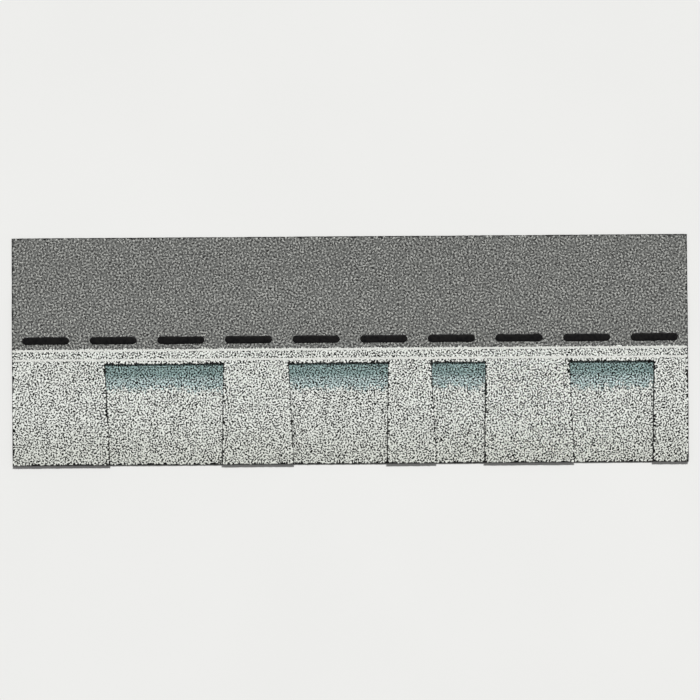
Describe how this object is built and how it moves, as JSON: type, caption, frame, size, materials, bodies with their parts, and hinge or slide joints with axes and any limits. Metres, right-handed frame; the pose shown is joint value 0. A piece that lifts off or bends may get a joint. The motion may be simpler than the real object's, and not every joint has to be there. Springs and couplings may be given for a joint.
{
  "type": "laminated asphalt shingle",
  "caption": "Laminated asphalt roof shingle: flared granule-faced teeth bonded over a whole backer strip, with a draped headlap and a dashed self-seal strip.",
  "frame": {"origin": "under the middle of the shingle, on the surface that it lies on", "axes": "+X along the shingle's length, +Y up the roof slope from the butt edge towards the headlap, +Z out of the granule face"},
  "size_m": [1, 0.337, 0.0064],
  "materials": {
    "tooth_granules": "matte",
    "backer_granules": "matte",
    "laminating_asphalt": "satin",
    "sealant": "gloss",
    "release_film": "gloss"
  },
  "bodies": {
    "root": {"tooth_ply": "tooth_granules", "backer_ply": "backer_granules", "laminating_adhesive": "laminating_asphalt", "sealant_dashes": "sealant", "release_film": "release_film"}
  },
  "joints": []
}
